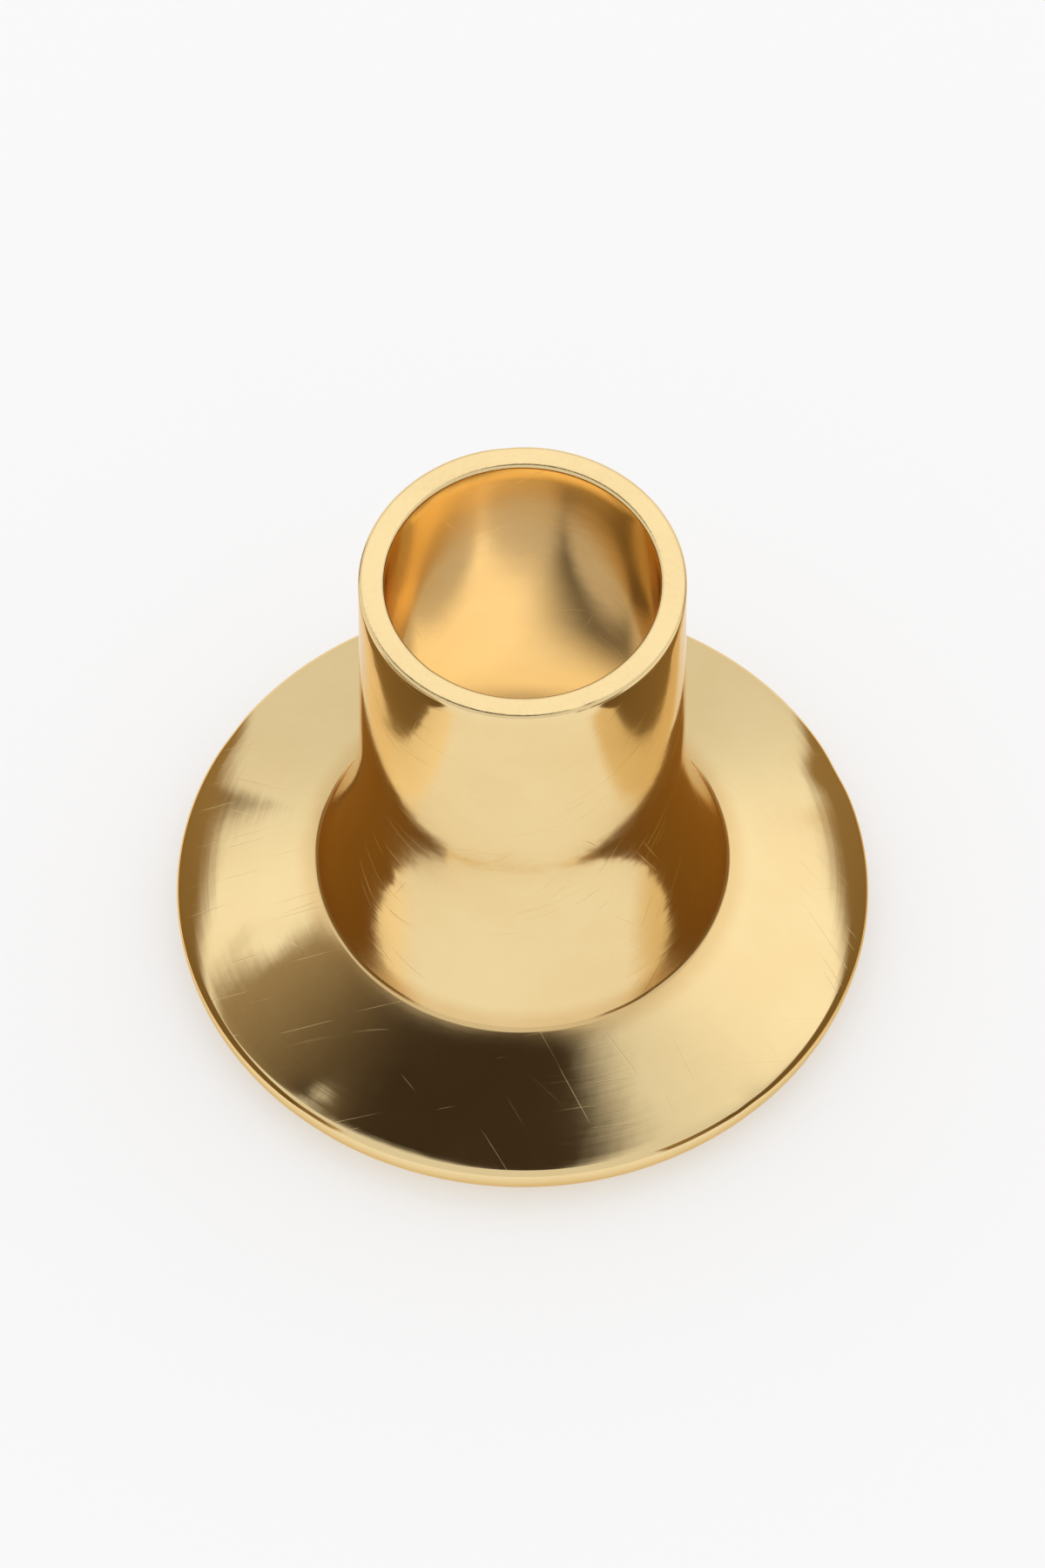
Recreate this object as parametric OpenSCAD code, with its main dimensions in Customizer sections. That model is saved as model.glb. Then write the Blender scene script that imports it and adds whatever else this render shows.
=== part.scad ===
// Beehive frame eyelet: a thin brass tube that flares like a trumpet into a thick round head,
// all in millimetres. It stands on its head, with the tube up. Z runs along the tube and starts
// at the crown, the flat ring of the head that it stands on.

/* [Tube] */
// Outside diameter of the straight part, which fills the hole drilled in a frame's end bar
tube_d = 3.0; // [2.4:0.1:3.4]
// Thickness of the tube's wall, the same in the straight part and in the flare
wall_t = 0.25; // [0.18:0.01:0.35]
// Height from the crown of the head to the free end of the tube
overall_h = 5.5; // [4.4:0.1:9.0]
// Radius on the two edges of the free end, worn smooth by tumbling
end_edge_r = 0.05; // [0.02:0.01:0.07]

/* [Mouth] */
// Diameter of the bore's mouth, across the narrowest circle of the round at its edge
mouth_d = 3.6; // [3.2:0.1:4.4]
// Radius of the round that carries the mouth out over the crown
mouth_round_r = 0.65; // [0.5:0.01:0.8]
// How far the flare has opened where it meets that round, in degrees from the axis
flare_turn = 26; // [21:1:32]

/* [Head] */
// Width of the crown's flat ring, between the mouth's round and the rim's round
crown_w = 0.37; // [0.25:0.01:0.5]
// Radius of the round from the crown out to the rim
rim_round_r = 0.38; // [0.3:0.01:0.46]
// Radius of the rim's other edge, on the tube's side
back_edge_r = 0.1; // [0.05:0.01:0.15]
// Slope of the head's back, which rises from the rim to the tube, in degrees
back_slope = 20; // [14:1:26]

/* [Hidden] */
$fn = 144;

brass = [0.87, 0.71, 0.42];

tube_r = tube_d / 2;
bore_r = tube_r - wall_t;

// The widths of the head add up outwards from the mouth
crown_x = mouth_d / 2 + mouth_round_r;
rim_x = crown_x + crown_w;
head_r = rim_x + rim_round_r;

// The flare is an arc that leaves the straight bore at flare_z and meets the mouth's round.
// Its centre lies outside the head, at flare_x.
flare_end_x = crown_x - mouth_round_r * cos(flare_turn);
flare_r = (flare_end_x - bore_r) / (1 - cos(flare_turn));
flare_x = bore_r + flare_r;
flare_z = mouth_round_r + (flare_r - mouth_round_r) * sin(flare_turn);

// The back's cone touches the rim's edge here, and slopes up from it into the flare's wall
edge_x = head_r - back_edge_r;
back_x = edge_x + back_edge_r * sin(back_slope);
back_z = rim_round_r + back_edge_r * cos(back_slope);
root_z = back_z + (back_x - mouth_d / 2) * tan(back_slope);
root_x = flare_x - sqrt(pow(flare_r, 2) - pow(flare_z - root_z, 2)) + wall_t / 2;

// Height of the back's cone at a distance x from the axis
function cone_z(x) = back_z + (back_x - x) * tan(back_slope);

// Half section of the straight tube, from the flare to the rounded free end
module tube_section() {
    end_z = overall_h - end_edge_r;
    translate([bore_r, flare_z])
        square([wall_t, end_z - flare_z]);
    translate([bore_r + end_edge_r, end_z - end_edge_r])
        square([wall_t - 2 * end_edge_r, 2 * end_edge_r]);
    for (x = [bore_r + end_edge_r, tube_r - end_edge_r])
        translate([x, end_z])
            circle(end_edge_r);
}

// Half section of the flare: a ring about its far centre, cut to the wedge that it turns through
module flare_section() {
    past = 2 * flare_r;
    translate([flare_x, flare_z])
        intersection() {
            difference() {
                circle(flare_r, $fn = 2880);
                circle(flare_r - wall_t, $fn = 2880);
            }
            polygon([[0, 0], [-past, 0], [-past, -past * tan(flare_turn)]]);
        }
}

// Half section of the mouth's round: the quarter towards the bore, below the back's cone
module mouth_section() {
    intersection() {
        translate([crown_x, mouth_round_r])
            circle(mouth_round_r);
        square([crown_x, mouth_round_r]);
        polygon([[0, 0], [crown_x, 0], [crown_x, cone_z(crown_x)], [0, cone_z(0)]]);
    }
}

// Half section of the rim's round, a quarter circle from the crown to the head's widest circle
module rim_section() {
    translate([rim_x, rim_round_r])
        intersection() {
            circle(rim_round_r);
            translate([0, -rim_round_r])
                square(rim_round_r);
        }
    translate([edge_x, rim_round_r])
        circle(back_edge_r);
}

// Half section of the head between its rounds, from the crown's flat up to the back's cone
module core_section() {
    polygon([
        [crown_x, 0],
        [rim_x, 0],
        [rim_x, rim_round_r],
        [edge_x, rim_round_r],
        [back_x, back_z],
        [root_x, cone_z(root_x)]
    ]);
}

// The whole eyelet, turned round its axis in one piece
module eyelet() {
    color(brass)
        rotate_extrude() {
            tube_section();
            flare_section();
            mouth_section();
            core_section();
            rim_section();
        }
}

eyelet();
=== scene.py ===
import math

import bmesh
import bpy
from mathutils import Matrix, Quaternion, Vector, noise


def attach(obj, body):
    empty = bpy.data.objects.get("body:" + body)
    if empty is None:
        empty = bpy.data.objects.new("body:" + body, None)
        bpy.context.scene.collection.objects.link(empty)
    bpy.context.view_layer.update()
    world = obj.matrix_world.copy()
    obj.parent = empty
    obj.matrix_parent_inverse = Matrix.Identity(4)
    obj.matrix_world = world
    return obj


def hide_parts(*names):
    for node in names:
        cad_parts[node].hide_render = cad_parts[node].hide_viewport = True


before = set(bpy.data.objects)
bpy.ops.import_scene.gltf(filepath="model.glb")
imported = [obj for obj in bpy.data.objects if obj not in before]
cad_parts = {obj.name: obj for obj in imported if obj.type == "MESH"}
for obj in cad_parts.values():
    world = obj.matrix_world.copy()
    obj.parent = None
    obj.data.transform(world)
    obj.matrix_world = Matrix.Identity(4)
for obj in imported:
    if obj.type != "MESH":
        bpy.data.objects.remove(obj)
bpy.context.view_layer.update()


# The eyelet is one piece of thin brass: a short tube that flares like a trumpet into a thick round head.
# It was drawn from sheet and its head pressed in a die, so it is the same all round, apart from the
# small dents and scratches of tumbling in a barrel. Its sizes are in millimetres, and MM is one in metres.

MM = 0.001
TUBE_R = 1.5
WALL = 0.25
BORE_R = TUBE_R - WALL
HEIGHT = 5.5
END_EDGE_R = 0.05
MOUTH_R = 1.8
MOUTH_ROUND_R = 0.65
FLARE_TURN = 26
CROWN_W = 0.37
RIM_ROUND_R = 0.38
BACK_EDGE_R = 0.1
BACK_SLOPE = 20
ROOT_FILLET_R = 0.07

turn_cos, turn_sin = math.cos(math.radians(FLARE_TURN)), math.sin(math.radians(FLARE_TURN))
slope_cos, slope_sin = math.cos(math.radians(BACK_SLOPE)), math.sin(math.radians(BACK_SLOPE))
crown_x = MOUTH_R + MOUTH_ROUND_R
rim_x = crown_x + CROWN_W
edge_x = rim_x + RIM_ROUND_R - BACK_EDGE_R
flare_r = (crown_x - MOUTH_ROUND_R * turn_cos - BORE_R) / (1 - turn_cos)
flare_x = BORE_R + flare_r
flare_z = MOUTH_ROUND_R + (flare_r - MOUTH_ROUND_R) * turn_sin
back_x = edge_x + BACK_EDGE_R * slope_sin
back_z = RIM_ROUND_R + BACK_EDGE_R * slope_cos


def root_fillet():
    """Finds the fillet between the flare's outside and the head's back: its centre and first angle."""
    lift = (BACK_EDGE_R + ROOT_FILLET_R) / slope_cos
    near = flare_r - WALL - ROOT_FILLET_R
    low, high = BORE_R, edge_x
    for _ in range(60):
        x = (low + high) / 2
        z = RIM_ROUND_R + lift + (edge_x - x) * slope_sin / slope_cos
        if math.hypot(x - flare_x, z - flare_z) > near:
            low = x
        else:
            high = x
    return x, z, math.degrees(math.atan2(flare_z - z, flare_x - x))


fillet_x, fillet_z, fillet_turn = root_fillet()


def arc(bm, tip, centre, degrees, steps):
    """Spins the outline's last point round a centre in equal steps, and returns the new last point."""
    made = bmesh.ops.spin(bm, geom=[tip], cent=(centre[0] * MM, 0, centre[1] * MM), axis=(0, 1, 0),
                          angle=math.radians(degrees), steps=steps, use_duplicate=False)
    return [v for v in made["geom_last"] if isinstance(v, bmesh.types.BMVert)][0]


def line(bm, tip, x, z, steps):
    """Extrudes the outline's last point to (x, z) in equal steps, and returns the new last point."""
    step = (Vector((x * MM, 0, z * MM)) - tip.co) / steps
    for _ in range(steps):
        tip = bmesh.ops.extrude_vert_indiv(bm, verts=[tip])["verts"][0]
        bmesh.ops.translate(bm, verts=[tip], vec=step)
    return tip


def half_section(bm, bore):
    """Draws the outline of one side: from the crown in through the bore, over the free end and back.

    Each stretch ends with the number of steps that it is cut into. New points copy the bore's value from
    the last one, so it is set where the bore starts and cleared where it ends.
    """
    tip = bm.verts.new((rim_x * MM, 0, 0))
    tip = line(bm, tip, crown_x, 0, 4)
    tip = arc(bm, tip, (crown_x, MOUTH_ROUND_R), 90 - FLARE_TURN, 22)
    tip[bore] = 1
    tip = arc(bm, tip, (flare_x, flare_z), FLARE_TURN, 30)
    tip = line(bm, tip, BORE_R, HEIGHT - END_EDGE_R, 14)
    tip[bore] = 0
    tip = arc(bm, tip, (BORE_R + END_EDGE_R, HEIGHT - END_EDGE_R), 90, 6)
    tip = line(bm, tip, TUBE_R - END_EDGE_R, HEIGHT, 3)
    tip = arc(bm, tip, (TUBE_R - END_EDGE_R, HEIGHT - END_EDGE_R), 90, 6)
    tip = line(bm, tip, TUBE_R, flare_z, 14)
    tip = arc(bm, tip, (flare_x, flare_z), -fillet_turn, 24)
    tip = arc(bm, tip, (fillet_x, fillet_z), fillet_turn + BACK_SLOPE - 90, 8)
    tip = line(bm, tip, back_x, back_z, 16)
    tip = arc(bm, tip, (edge_x, RIM_ROUND_R), 90 - BACK_SLOPE, 8)
    arc(bm, tip, (rim_x, RIM_ROUND_R), 90, 18)


ROUND_STEPS = 288

# How far tumbling has worn the surface in, how much that varies, and its waves to the millimetre
WEAR = 0.006
WAVINESS = 0.003
BROAD_WAVES = 0.55
FINE_WAVES = 1.3

# Each dent: distance from the axis, height and direction of its middle, its width and its depth
DENTS = (
    (3.15, 0.40, 24, 0.20, 0.012),
    (3.19, 0.30, 148, 0.16, 0.009),
    (3.12, 0.46, 232, 0.20, 0.012),
    (3.17, 0.40, 312, 0.14, 0.008),
    (1.50, 4.60, 205, 0.30, 0.006),
    (1.50, 3.70, 338, 0.24, 0.005),
    (1.50, 5.35, 96, 0.20, 0.008),
    (2.55, 0.68, 196, 0.22, 0.005),
    (2.30, 0.02, 75, 0.26, 0.006),
    (1.46, 5.49, 292, 0.09, 0.007),
    (1.29, 5.49, 228, 0.07, 0.005),
)


def worn(point, outward):
    """Moves a point inwards by the wear, its faint waves and the dents, never outwards."""
    p = point / MM
    wave = noise.noise(p * BROAD_WAVES) * 0.6 + noise.noise(p * FINE_WAVES + Vector((7, 0, 0))) * 0.4
    depth = WEAR + WAVINESS * wave
    for radius, z, degrees, spread, deep in DENTS:
        turn = math.radians(degrees)
        middle = Vector((radius * math.cos(turn), radius * math.sin(turn), z))
        depth += deep * math.exp(-((p - middle).length / spread) ** 2)
    return point - outward * depth * MM


def eyelet_mesh():
    bm = bmesh.new()
    half_section(bm, bm.verts.layers.float.new("bore"))
    bmesh.ops.spin(bm, geom=bm.verts[:] + bm.edges[:], cent=(0, 0, 0), axis=(0, 0, 1),
                   angle=math.tau, steps=ROUND_STEPS, use_merge=True, use_duplicate=False)
    bmesh.ops.remove_doubles(bm, verts=bm.verts, dist=0.0001 * MM)
    bmesh.ops.recalc_face_normals(bm, faces=bm.faces)
    bm.normal_update()
    moved = [worn(v.co, v.normal) for v in bm.verts]
    for v, place in zip(bm.verts, moved):
        v.co = place
    for face in bm.faces:
        face.smooth = True
    mesh = bpy.data.meshes.new("eyelet_brass")
    bm.to_mesh(mesh)
    bm.free()
    return mesh


BRIGHT_BRASS = (0.92, 0.72, 0.38, 1)
# the colour of tarnish, also used for the painted shade in the corner at the root
TARNISH_AND_SHADE_BRASS = (0.74, 0.47, 0.18, 1)
GRAZING_TINT = (0.90, 0.74, 0.50, 1)

# The corner where the flare meets the head, and how far the painted shade in it reaches
CORNER_X, CORNER_Z = 1.9, 0.94
CORNER_REACH = 0.26

# Hair scratches lie where thin sheets of noise cut the surface: a sheet's size in metres, and its turns
HAIR_SHEET = (1 / 750, 1 / 60000, 1 / 750)
HAIR_TURNS = ((0.3, 0.9, 0.4), (1.2, -0.5, 1.9), (-0.7, 0.4, -1.1))

# Depths of the polish's faint ripple, the press and drawing marks, the hair scratches and the cut grain
RIPPLE_DEPTH = 0.0012
MARK_DEPTH = 0.00035
HAIR_DEPTH = 0.0002
GRAIN_DEPTH = 0.0013


def add(tree, kind, inputs=None, **values):
    """Adds a node to a material or world, sets its plain properties, and sets or links its inputs."""
    node = tree.nodes.new(kind)
    for name, value in values.items():
        setattr(node, name, value)
    for name, value in (inputs or {}).items():
        if isinstance(value, bpy.types.NodeSocket):
            tree.links.new(value, node.inputs[name])
        else:
            node.inputs[name].default_value = value
    return node


def ramp(tree, value, low, high, to_low=0.0, to_high=1.0):
    """Turns a value that runs from low to high into one that runs from to_low to to_high."""
    node = add(tree, "ShaderNodeMapRange", {"Value": value, "From Min": low, "From Max": high,
                                            "To Min": to_low, "To Max": to_high},
               interpolation_type="SMOOTHSTEP")
    return node.outputs["Result"]


def speckle(tree, place, scale, detail, roughness=0.5):
    """Gives a noise that varies over a place, with that many cells to the metre."""
    inputs = {"Vector": place, "Scale": scale, "Detail": detail, "Roughness": roughness}
    return add(tree, "ShaderNodeTexNoise", inputs).outputs["Fac"]


def times(tree, a, b):
    return add(tree, "ShaderNodeMath", {0: a, 1: b}, operation="MULTIPLY").outputs[0]


def plus(tree, a, b):
    return add(tree, "ShaderNodeMath", {0: a, 1: b}, operation="ADD").outputs[0]


def with_shares(tree, total, *shares):
    """Adds a share of each value to a total."""
    for value, share in shares:
        total = plus(tree, total, times(tree, value, share))
    return total


def bump(tree, height, depth, below=None, invert=False):
    """Adds a bump, its depth in millimetres, on top of the one below it."""
    inputs = {"Height": height, "Strength": 1.0, "Distance": depth * MM}
    if below is not None:
        inputs["Normal"] = below
    return add(tree, "ShaderNodeBump", inputs, invert=invert).outputs["Normal"]


def brass_material():
    """Bright tumbled brass, a little browner and duller in the bore and at the root, with fine marks."""
    material = bpy.data.materials.new("bright_brass")
    material.use_nodes = True
    tree = material.node_tree
    shader = tree.nodes["Principled BSDF"]
    shader.inputs["Metallic"].default_value = 1.0
    shader.inputs["Specular Tint"].default_value = GRAZING_TINT

    place = add(tree, "ShaderNodeTexCoord").outputs["Object"]
    parts = add(tree, "ShaderNodeSeparateXYZ", {0: place})
    across = add(tree, "ShaderNodeCombineXYZ", {"X": parts.outputs["X"], "Y": parts.outputs["Y"]})
    radius = add(tree, "ShaderNodeVectorMath", {0: across.outputs[0]}, operation="LENGTH")
    height = parts.outputs["Z"]
    section = add(tree, "ShaderNodeCombineXYZ", {"X": radius.outputs["Value"], "Z": height}).outputs[0]
    bore = add(tree, "ShaderNodeAttribute", attribute_name="bore").outputs["Fac"]

    # painted shade in the corner where the flare meets the head, a browner bore, and patches of tarnish
    corner = (CORNER_X * MM, 0, CORNER_Z * MM)
    away = add(tree, "ShaderNodeVectorMath", {0: section, 1: corner}, operation="DISTANCE")
    at_root = ramp(tree, away.outputs["Value"], 0.03 * MM, CORNER_REACH * MM, 1.0, 0.0)
    cloud = speckle(tree, place, 700, 4, 0.6)
    patchy = ramp(tree, cloud, 0.35, 0.7)
    tarnish_and_shade = with_shares(tree, times(tree, at_root, 0.45), (bore, 0.15), (patchy, 0.16))
    colour = add(tree, "ShaderNodeMix", {"Factor": tarnish_and_shade}, data_type="RGBA", clamp_factor=True)
    colour.inputs["A"].default_value = BRIGHT_BRASS
    colour.inputs["B"].default_value = TARNISH_AND_SHADE_BRASS
    tree.links.new(colour.outputs["Result"], shader.inputs["Base Color"])

    # the press leaves marks round the head, the drawing leaves lines along the tube
    along = add(tree, "ShaderNodeVectorMath", {0: place, 1: (9000, 9000, 260)}, operation="MULTIPLY")
    drawn = speckle(tree, along.outputs[0], 1, 3)
    ringed = speckle(tree, section, 14000, 3)
    on_tube = ramp(tree, height, 1.2 * MM, 2.6 * MM)
    marks = add(tree, "ShaderNodeMix", {"Factor": on_tube, "A": ringed, "B": drawn}, data_type="FLOAT")

    # hair scratches from the tumbling, in three directions
    hair = 0.0
    for turn in HAIR_TURNS:
        sheet = add(tree, "ShaderNodeMapping", {"Vector": place, "Rotation": turn, "Scale": HAIR_SHEET},
                    vector_type="TEXTURE")
        hair = plus(tree, hair, ramp(tree, speckle(tree, sheet.outputs[0], 1, 1), 0.72, 0.79))

    # the free end was cut off square, which left a fine grain on its face
    on_end = ramp(tree, height, (HEIGHT - 0.045) * MM, (HEIGHT - 0.012) * MM)
    grain = times(tree, on_end, speckle(tree, place, 22000, 3))

    # the polish, which is duller in the bore and the corner, in a scratch and on the cut end
    gloss = ramp(tree, cloud, 0.3, 0.7, 0.045, 0.10)
    rough = with_shares(tree, gloss, (bore, 0.06), (hair, 0.07), (at_root, 0.10), (grain, 0.30))
    tree.links.new(rough, shader.inputs["Roughness"])

    normal = bump(tree, speckle(tree, place, 2600, 2), RIPPLE_DEPTH)
    normal = bump(tree, marks.outputs["Result"], MARK_DEPTH, normal)
    normal = bump(tree, hair, HAIR_DEPTH, normal, invert=True)
    normal = bump(tree, grain, GRAIN_DEPTH, normal)
    tree.links.new(normal, shader.inputs["Normal"])
    return material


eyelet = bpy.data.objects.new("eyelet_body", eyelet_mesh())
scene = bpy.context.scene
scene.collection.objects.link(eyelet)
eyelet.data.materials.append(brass_material())
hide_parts("eyelet")
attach(eyelet, "root")


# The floor is a plain white sheet of paper, wide enough to lie under every view.
# It isn't part of the eyelet. Its own faint light makes it white, and keeps the eyelet's shadow.

FLOOR_HALF = 0.6
PAPER_WHITE = (0.66, 0.66, 0.67, 1)
PAPER_LIGHT = 0.38

bm = bmesh.new()
bmesh.ops.create_grid(bm, x_segments=1, y_segments=1, size=FLOOR_HALF)
floor_mesh = bpy.data.meshes.new("white_sheet")
bm.to_mesh(floor_mesh)
bm.free()
floor = bpy.data.objects.new("white_sheet", floor_mesh)
scene.collection.objects.link(floor)
paper = bpy.data.materials.new("white_paper")
paper.use_nodes = True
matt = paper.node_tree.nodes["Principled BSDF"]
matt.inputs["Base Color"].default_value = PAPER_WHITE
matt.inputs["Roughness"].default_value = 0.9
matt.inputs["Specular IOR Level"].default_value = 0.1
rays = add(paper.node_tree, "ShaderNodeLightPath").outputs
seen = plus(paper.node_tree, rays["Is Camera Ray"], rays["Is Glossy Ray"])
seen = plus(paper.node_tree, seen, rays["Is Transmission Ray"])
matt.inputs["Emission Color"].default_value = (1, 1, 1, 1)
paper.node_tree.links.new(times(paper.node_tree, seen, PAPER_LIGHT), matt.inputs["Emission Strength"])
floor_mesh.materials.append(paper)


# A white room that is brightest in a broad soft patch, high behind the eyelet, lights it from all sides.
# Bright brass shows what stands round it, so soft-edged flags, black, brown and tan, stand above it,
# beside it and under it. They are painted reflections: they show in the brass only, and throw no shadow.

ROOM = 0.78
GLOW = 0.30
GLOW_TOWARD = (0.10, 0.50, 0.86)
GLOW_SPREAD = (0.45, 1, 1)

world = bpy.data.worlds.new("white_room")
scene.world = world
world.use_nodes = True
tree = world.node_tree
sky = tree.nodes["Background"]
sky.inputs["Color"].default_value = (1, 1, 1, 1)
around = add(tree, "ShaderNodeTexCoord").outputs["Generated"]
spread = add(tree, "ShaderNodeVectorMath", {0: around, 1: GLOW_SPREAD}, operation="MULTIPLY")
spread = add(tree, "ShaderNodeVectorMath", {0: spread.outputs[0]}, operation="NORMALIZE")
near = add(tree, "ShaderNodeVectorMath", {0: spread.outputs[0], 1: GLOW_TOWARD}, operation="DOT_PRODUCT")
glow = ramp(tree, near.outputs["Value"], 0.80, 0.97, ROOM, ROOM + GLOW)
seen = add(tree, "ShaderNodeLightPath").outputs["Is Camera Ray"]
light = add(tree, "ShaderNodeMix", {"Factor": seen, "A": glow, "B": 1.0}, data_type="FLOAT")
tree.links.new(light.outputs["Result"], sky.inputs["Strength"])

UP = Vector((0, 0, 1))
DOWN = Vector((0, 0, -1))

# How far from its middle a flag starts to fade out, as a share of its width and of its height
SOLID_ASIDE = 0.38
SOLID_ABOVE = 0.34


def toward(azimuth, elevation, distance):
    """Gives a place round the eyelet: azimuth from the camera's side to its right, elevation upwards."""
    a, e = math.radians(azimuth), math.radians(elevation)
    return Vector((math.sin(a) * math.cos(e), -math.cos(a) * math.cos(e), math.sin(e))) * distance


def flag(name, place, outward, width, tall, left, right, fade=1.0, roll=0.0):
    """Stands a soft-edged card at a place, where outward points from the eyelet to it.

    Left and right are its colours as seen from behind it. They run into each other over the share of its
    width that fade gives, which starts on its left. Roll turns it in its own plane.
    """
    bm = bmesh.new()
    bmesh.ops.create_grid(bm, x_segments=1, y_segments=1, size=0.5)
    bmesh.ops.scale(bm, verts=bm.verts, vec=(width, tall, 1))
    mesh = bpy.data.meshes.new(name)
    bm.to_mesh(mesh)
    bm.free()
    card = bpy.data.objects.new(name, mesh)
    scene.collection.objects.link(card)
    card.location = place
    turn = (-outward).to_track_quat("Z", "Y") @ Quaternion((0, 0, 1), math.radians(roll))
    card.rotation_euler = turn.to_euler()
    material = bpy.data.materials.new(name)
    material.use_nodes = True
    tree = material.node_tree
    spot = add(tree, "ShaderNodeSeparateXYZ", {0: add(tree, "ShaderNodeTexCoord").outputs["Object"]})
    change = ramp(tree, spot.outputs["X"], width / 2 - fade * width, width / 2)
    tone = add(tree, "ShaderNodeMix", {"Factor": change}, data_type="RGBA")
    tone.inputs["A"].default_value = (*right, 1)
    tone.inputs["B"].default_value = (*left, 1)
    aside = add(tree, "ShaderNodeMath", {0: spot.outputs["X"]}, operation="ABSOLUTE").outputs[0]
    above = add(tree, "ShaderNodeMath", {0: spot.outputs["Y"]}, operation="ABSOLUTE").outputs[0]
    edge = times(tree, ramp(tree, aside, width * SOLID_ASIDE, width / 2, 1.0, 0.0),
                 ramp(tree, above, tall * SOLID_ABOVE, tall / 2, 1.0, 0.0))
    clear = add(tree, "ShaderNodeBsdfTransparent")
    shade = add(tree, "ShaderNodeEmission", {"Color": tone.outputs["Result"]})
    both = add(tree, "ShaderNodeMixShader", {0: edge, 1: clear.outputs[0], 2: shade.outputs[0]})
    tree.links.new(both.outputs[0], tree.nodes["Material Output"].inputs["Surface"])
    mesh.materials.append(material)
    card.visible_camera = False
    card.visible_diffuse = False
    card.visible_shadow = False


NEAR_BLACK = (0.045, 0.030, 0.018)
DEEP_BROWN = (0.15, 0.09, 0.03)
BROWN = (0.32, 0.21, 0.09)
GREY_BROWN = (0.37, 0.29, 0.19)
LIGHT_BROWN = (0.50, 0.37, 0.20)
TAN = (0.80, 0.64, 0.41)
WARM = (1.0, 0.87, 0.68)
GLOWING = (1.2, 1.03, 0.80)

# a large one high up, which lies in the head as a dark band
flag("top_flag", Vector((-0.089, 0.029, 0.30)), UP, 0.372, 0.15, GREY_BROWN, NEAR_BLACK, 0.55, 27.6)

# one standing on each side of the head: name, azimuth and colours
STANDING_FLAGS = (
    ("left_flag", -92, BROWN, DEEP_BROWN),
    ("right_flag", 92, DEEP_BROWN, BROWN),
)
for name, azimuth, left, right in STANDING_FLAGS:
    flag(name, toward(azimuth, 0, 4.0 * MM) + UP * 0.8 * MM, toward(azimuth, 0, 1),
         9.5 * MM, 2.4 * MM, left, right)

# one lying on each side of the head, just clear of the floor: name, distance to the right and colours
FLOOR_GAP = 0.02 * MM
LYING_FLAGS = (
    ("left_floor_flag", -4.8, WARM, BROWN),
    ("right_floor_flag", 4.8, LIGHT_BROWN, TAN),
)
for name, x, left, right in LYING_FLAGS:
    flag(name, Vector((x * MM, 0, FLOOR_GAP)), DOWN, 3.4 * MM, 9.2 * MM, left, right)

# and one under its mouth, a glowing card that shows in the brass only and paints a glow into the bore
flag("mouth_flag", Vector((0, 0, FLOOR_GAP)), DOWN, 3.2 * MM, 3.2 * MM, NEAR_BLACK, GLOWING, 0.6, 180)

# low ones further off, which give the tube its streaks in low views: azimuth, width and colours
LOW_FLAGS = (
    (-64, 6.8, DEEP_BROWN, LIGHT_BROWN),
    (44, 4.0, BROWN, DEEP_BROWN),
    (120, 4.8, BROWN, TAN),
    (-128, 2.8, DEEP_BROWN, BROWN),
)
for azimuth, width, left, right in LOW_FLAGS:
    flag(f"low_flag_{azimuth}", toward(azimuth, 0, 9.0 * MM) + UP * 2.4 * MM, toward(azimuth, 0, 1),
         width * MM, 6.2 * MM, left, right)


# The camera looks down on the eyelet from the photograph's height, from far off through a long lens.
# The eyelet's head fills two thirds of the picture's width.

ELEVATION = 56.6
DISTANCE = 0.25
VIEW_HEIGHT = 14.4 * MM
LOOK_AT = Vector((0, 0, 2.15 * MM))

lens = bpy.data.cameras.new("long_lens")
lens.sensor_width = 36
lens.lens = lens.sensor_width * DISTANCE / VIEW_HEIGHT
lens.clip_start = 0.01
lens.clip_end = 2
camera = bpy.data.objects.new("camera", lens)
scene.collection.objects.link(camera)
away = toward(0, ELEVATION, DISTANCE)
camera.location = LOOK_AT + away
camera.rotation_euler = away.to_track_quat("Z", "Y").to_euler()
scene.camera = camera
scene.view_settings.view_transform = "Standard"
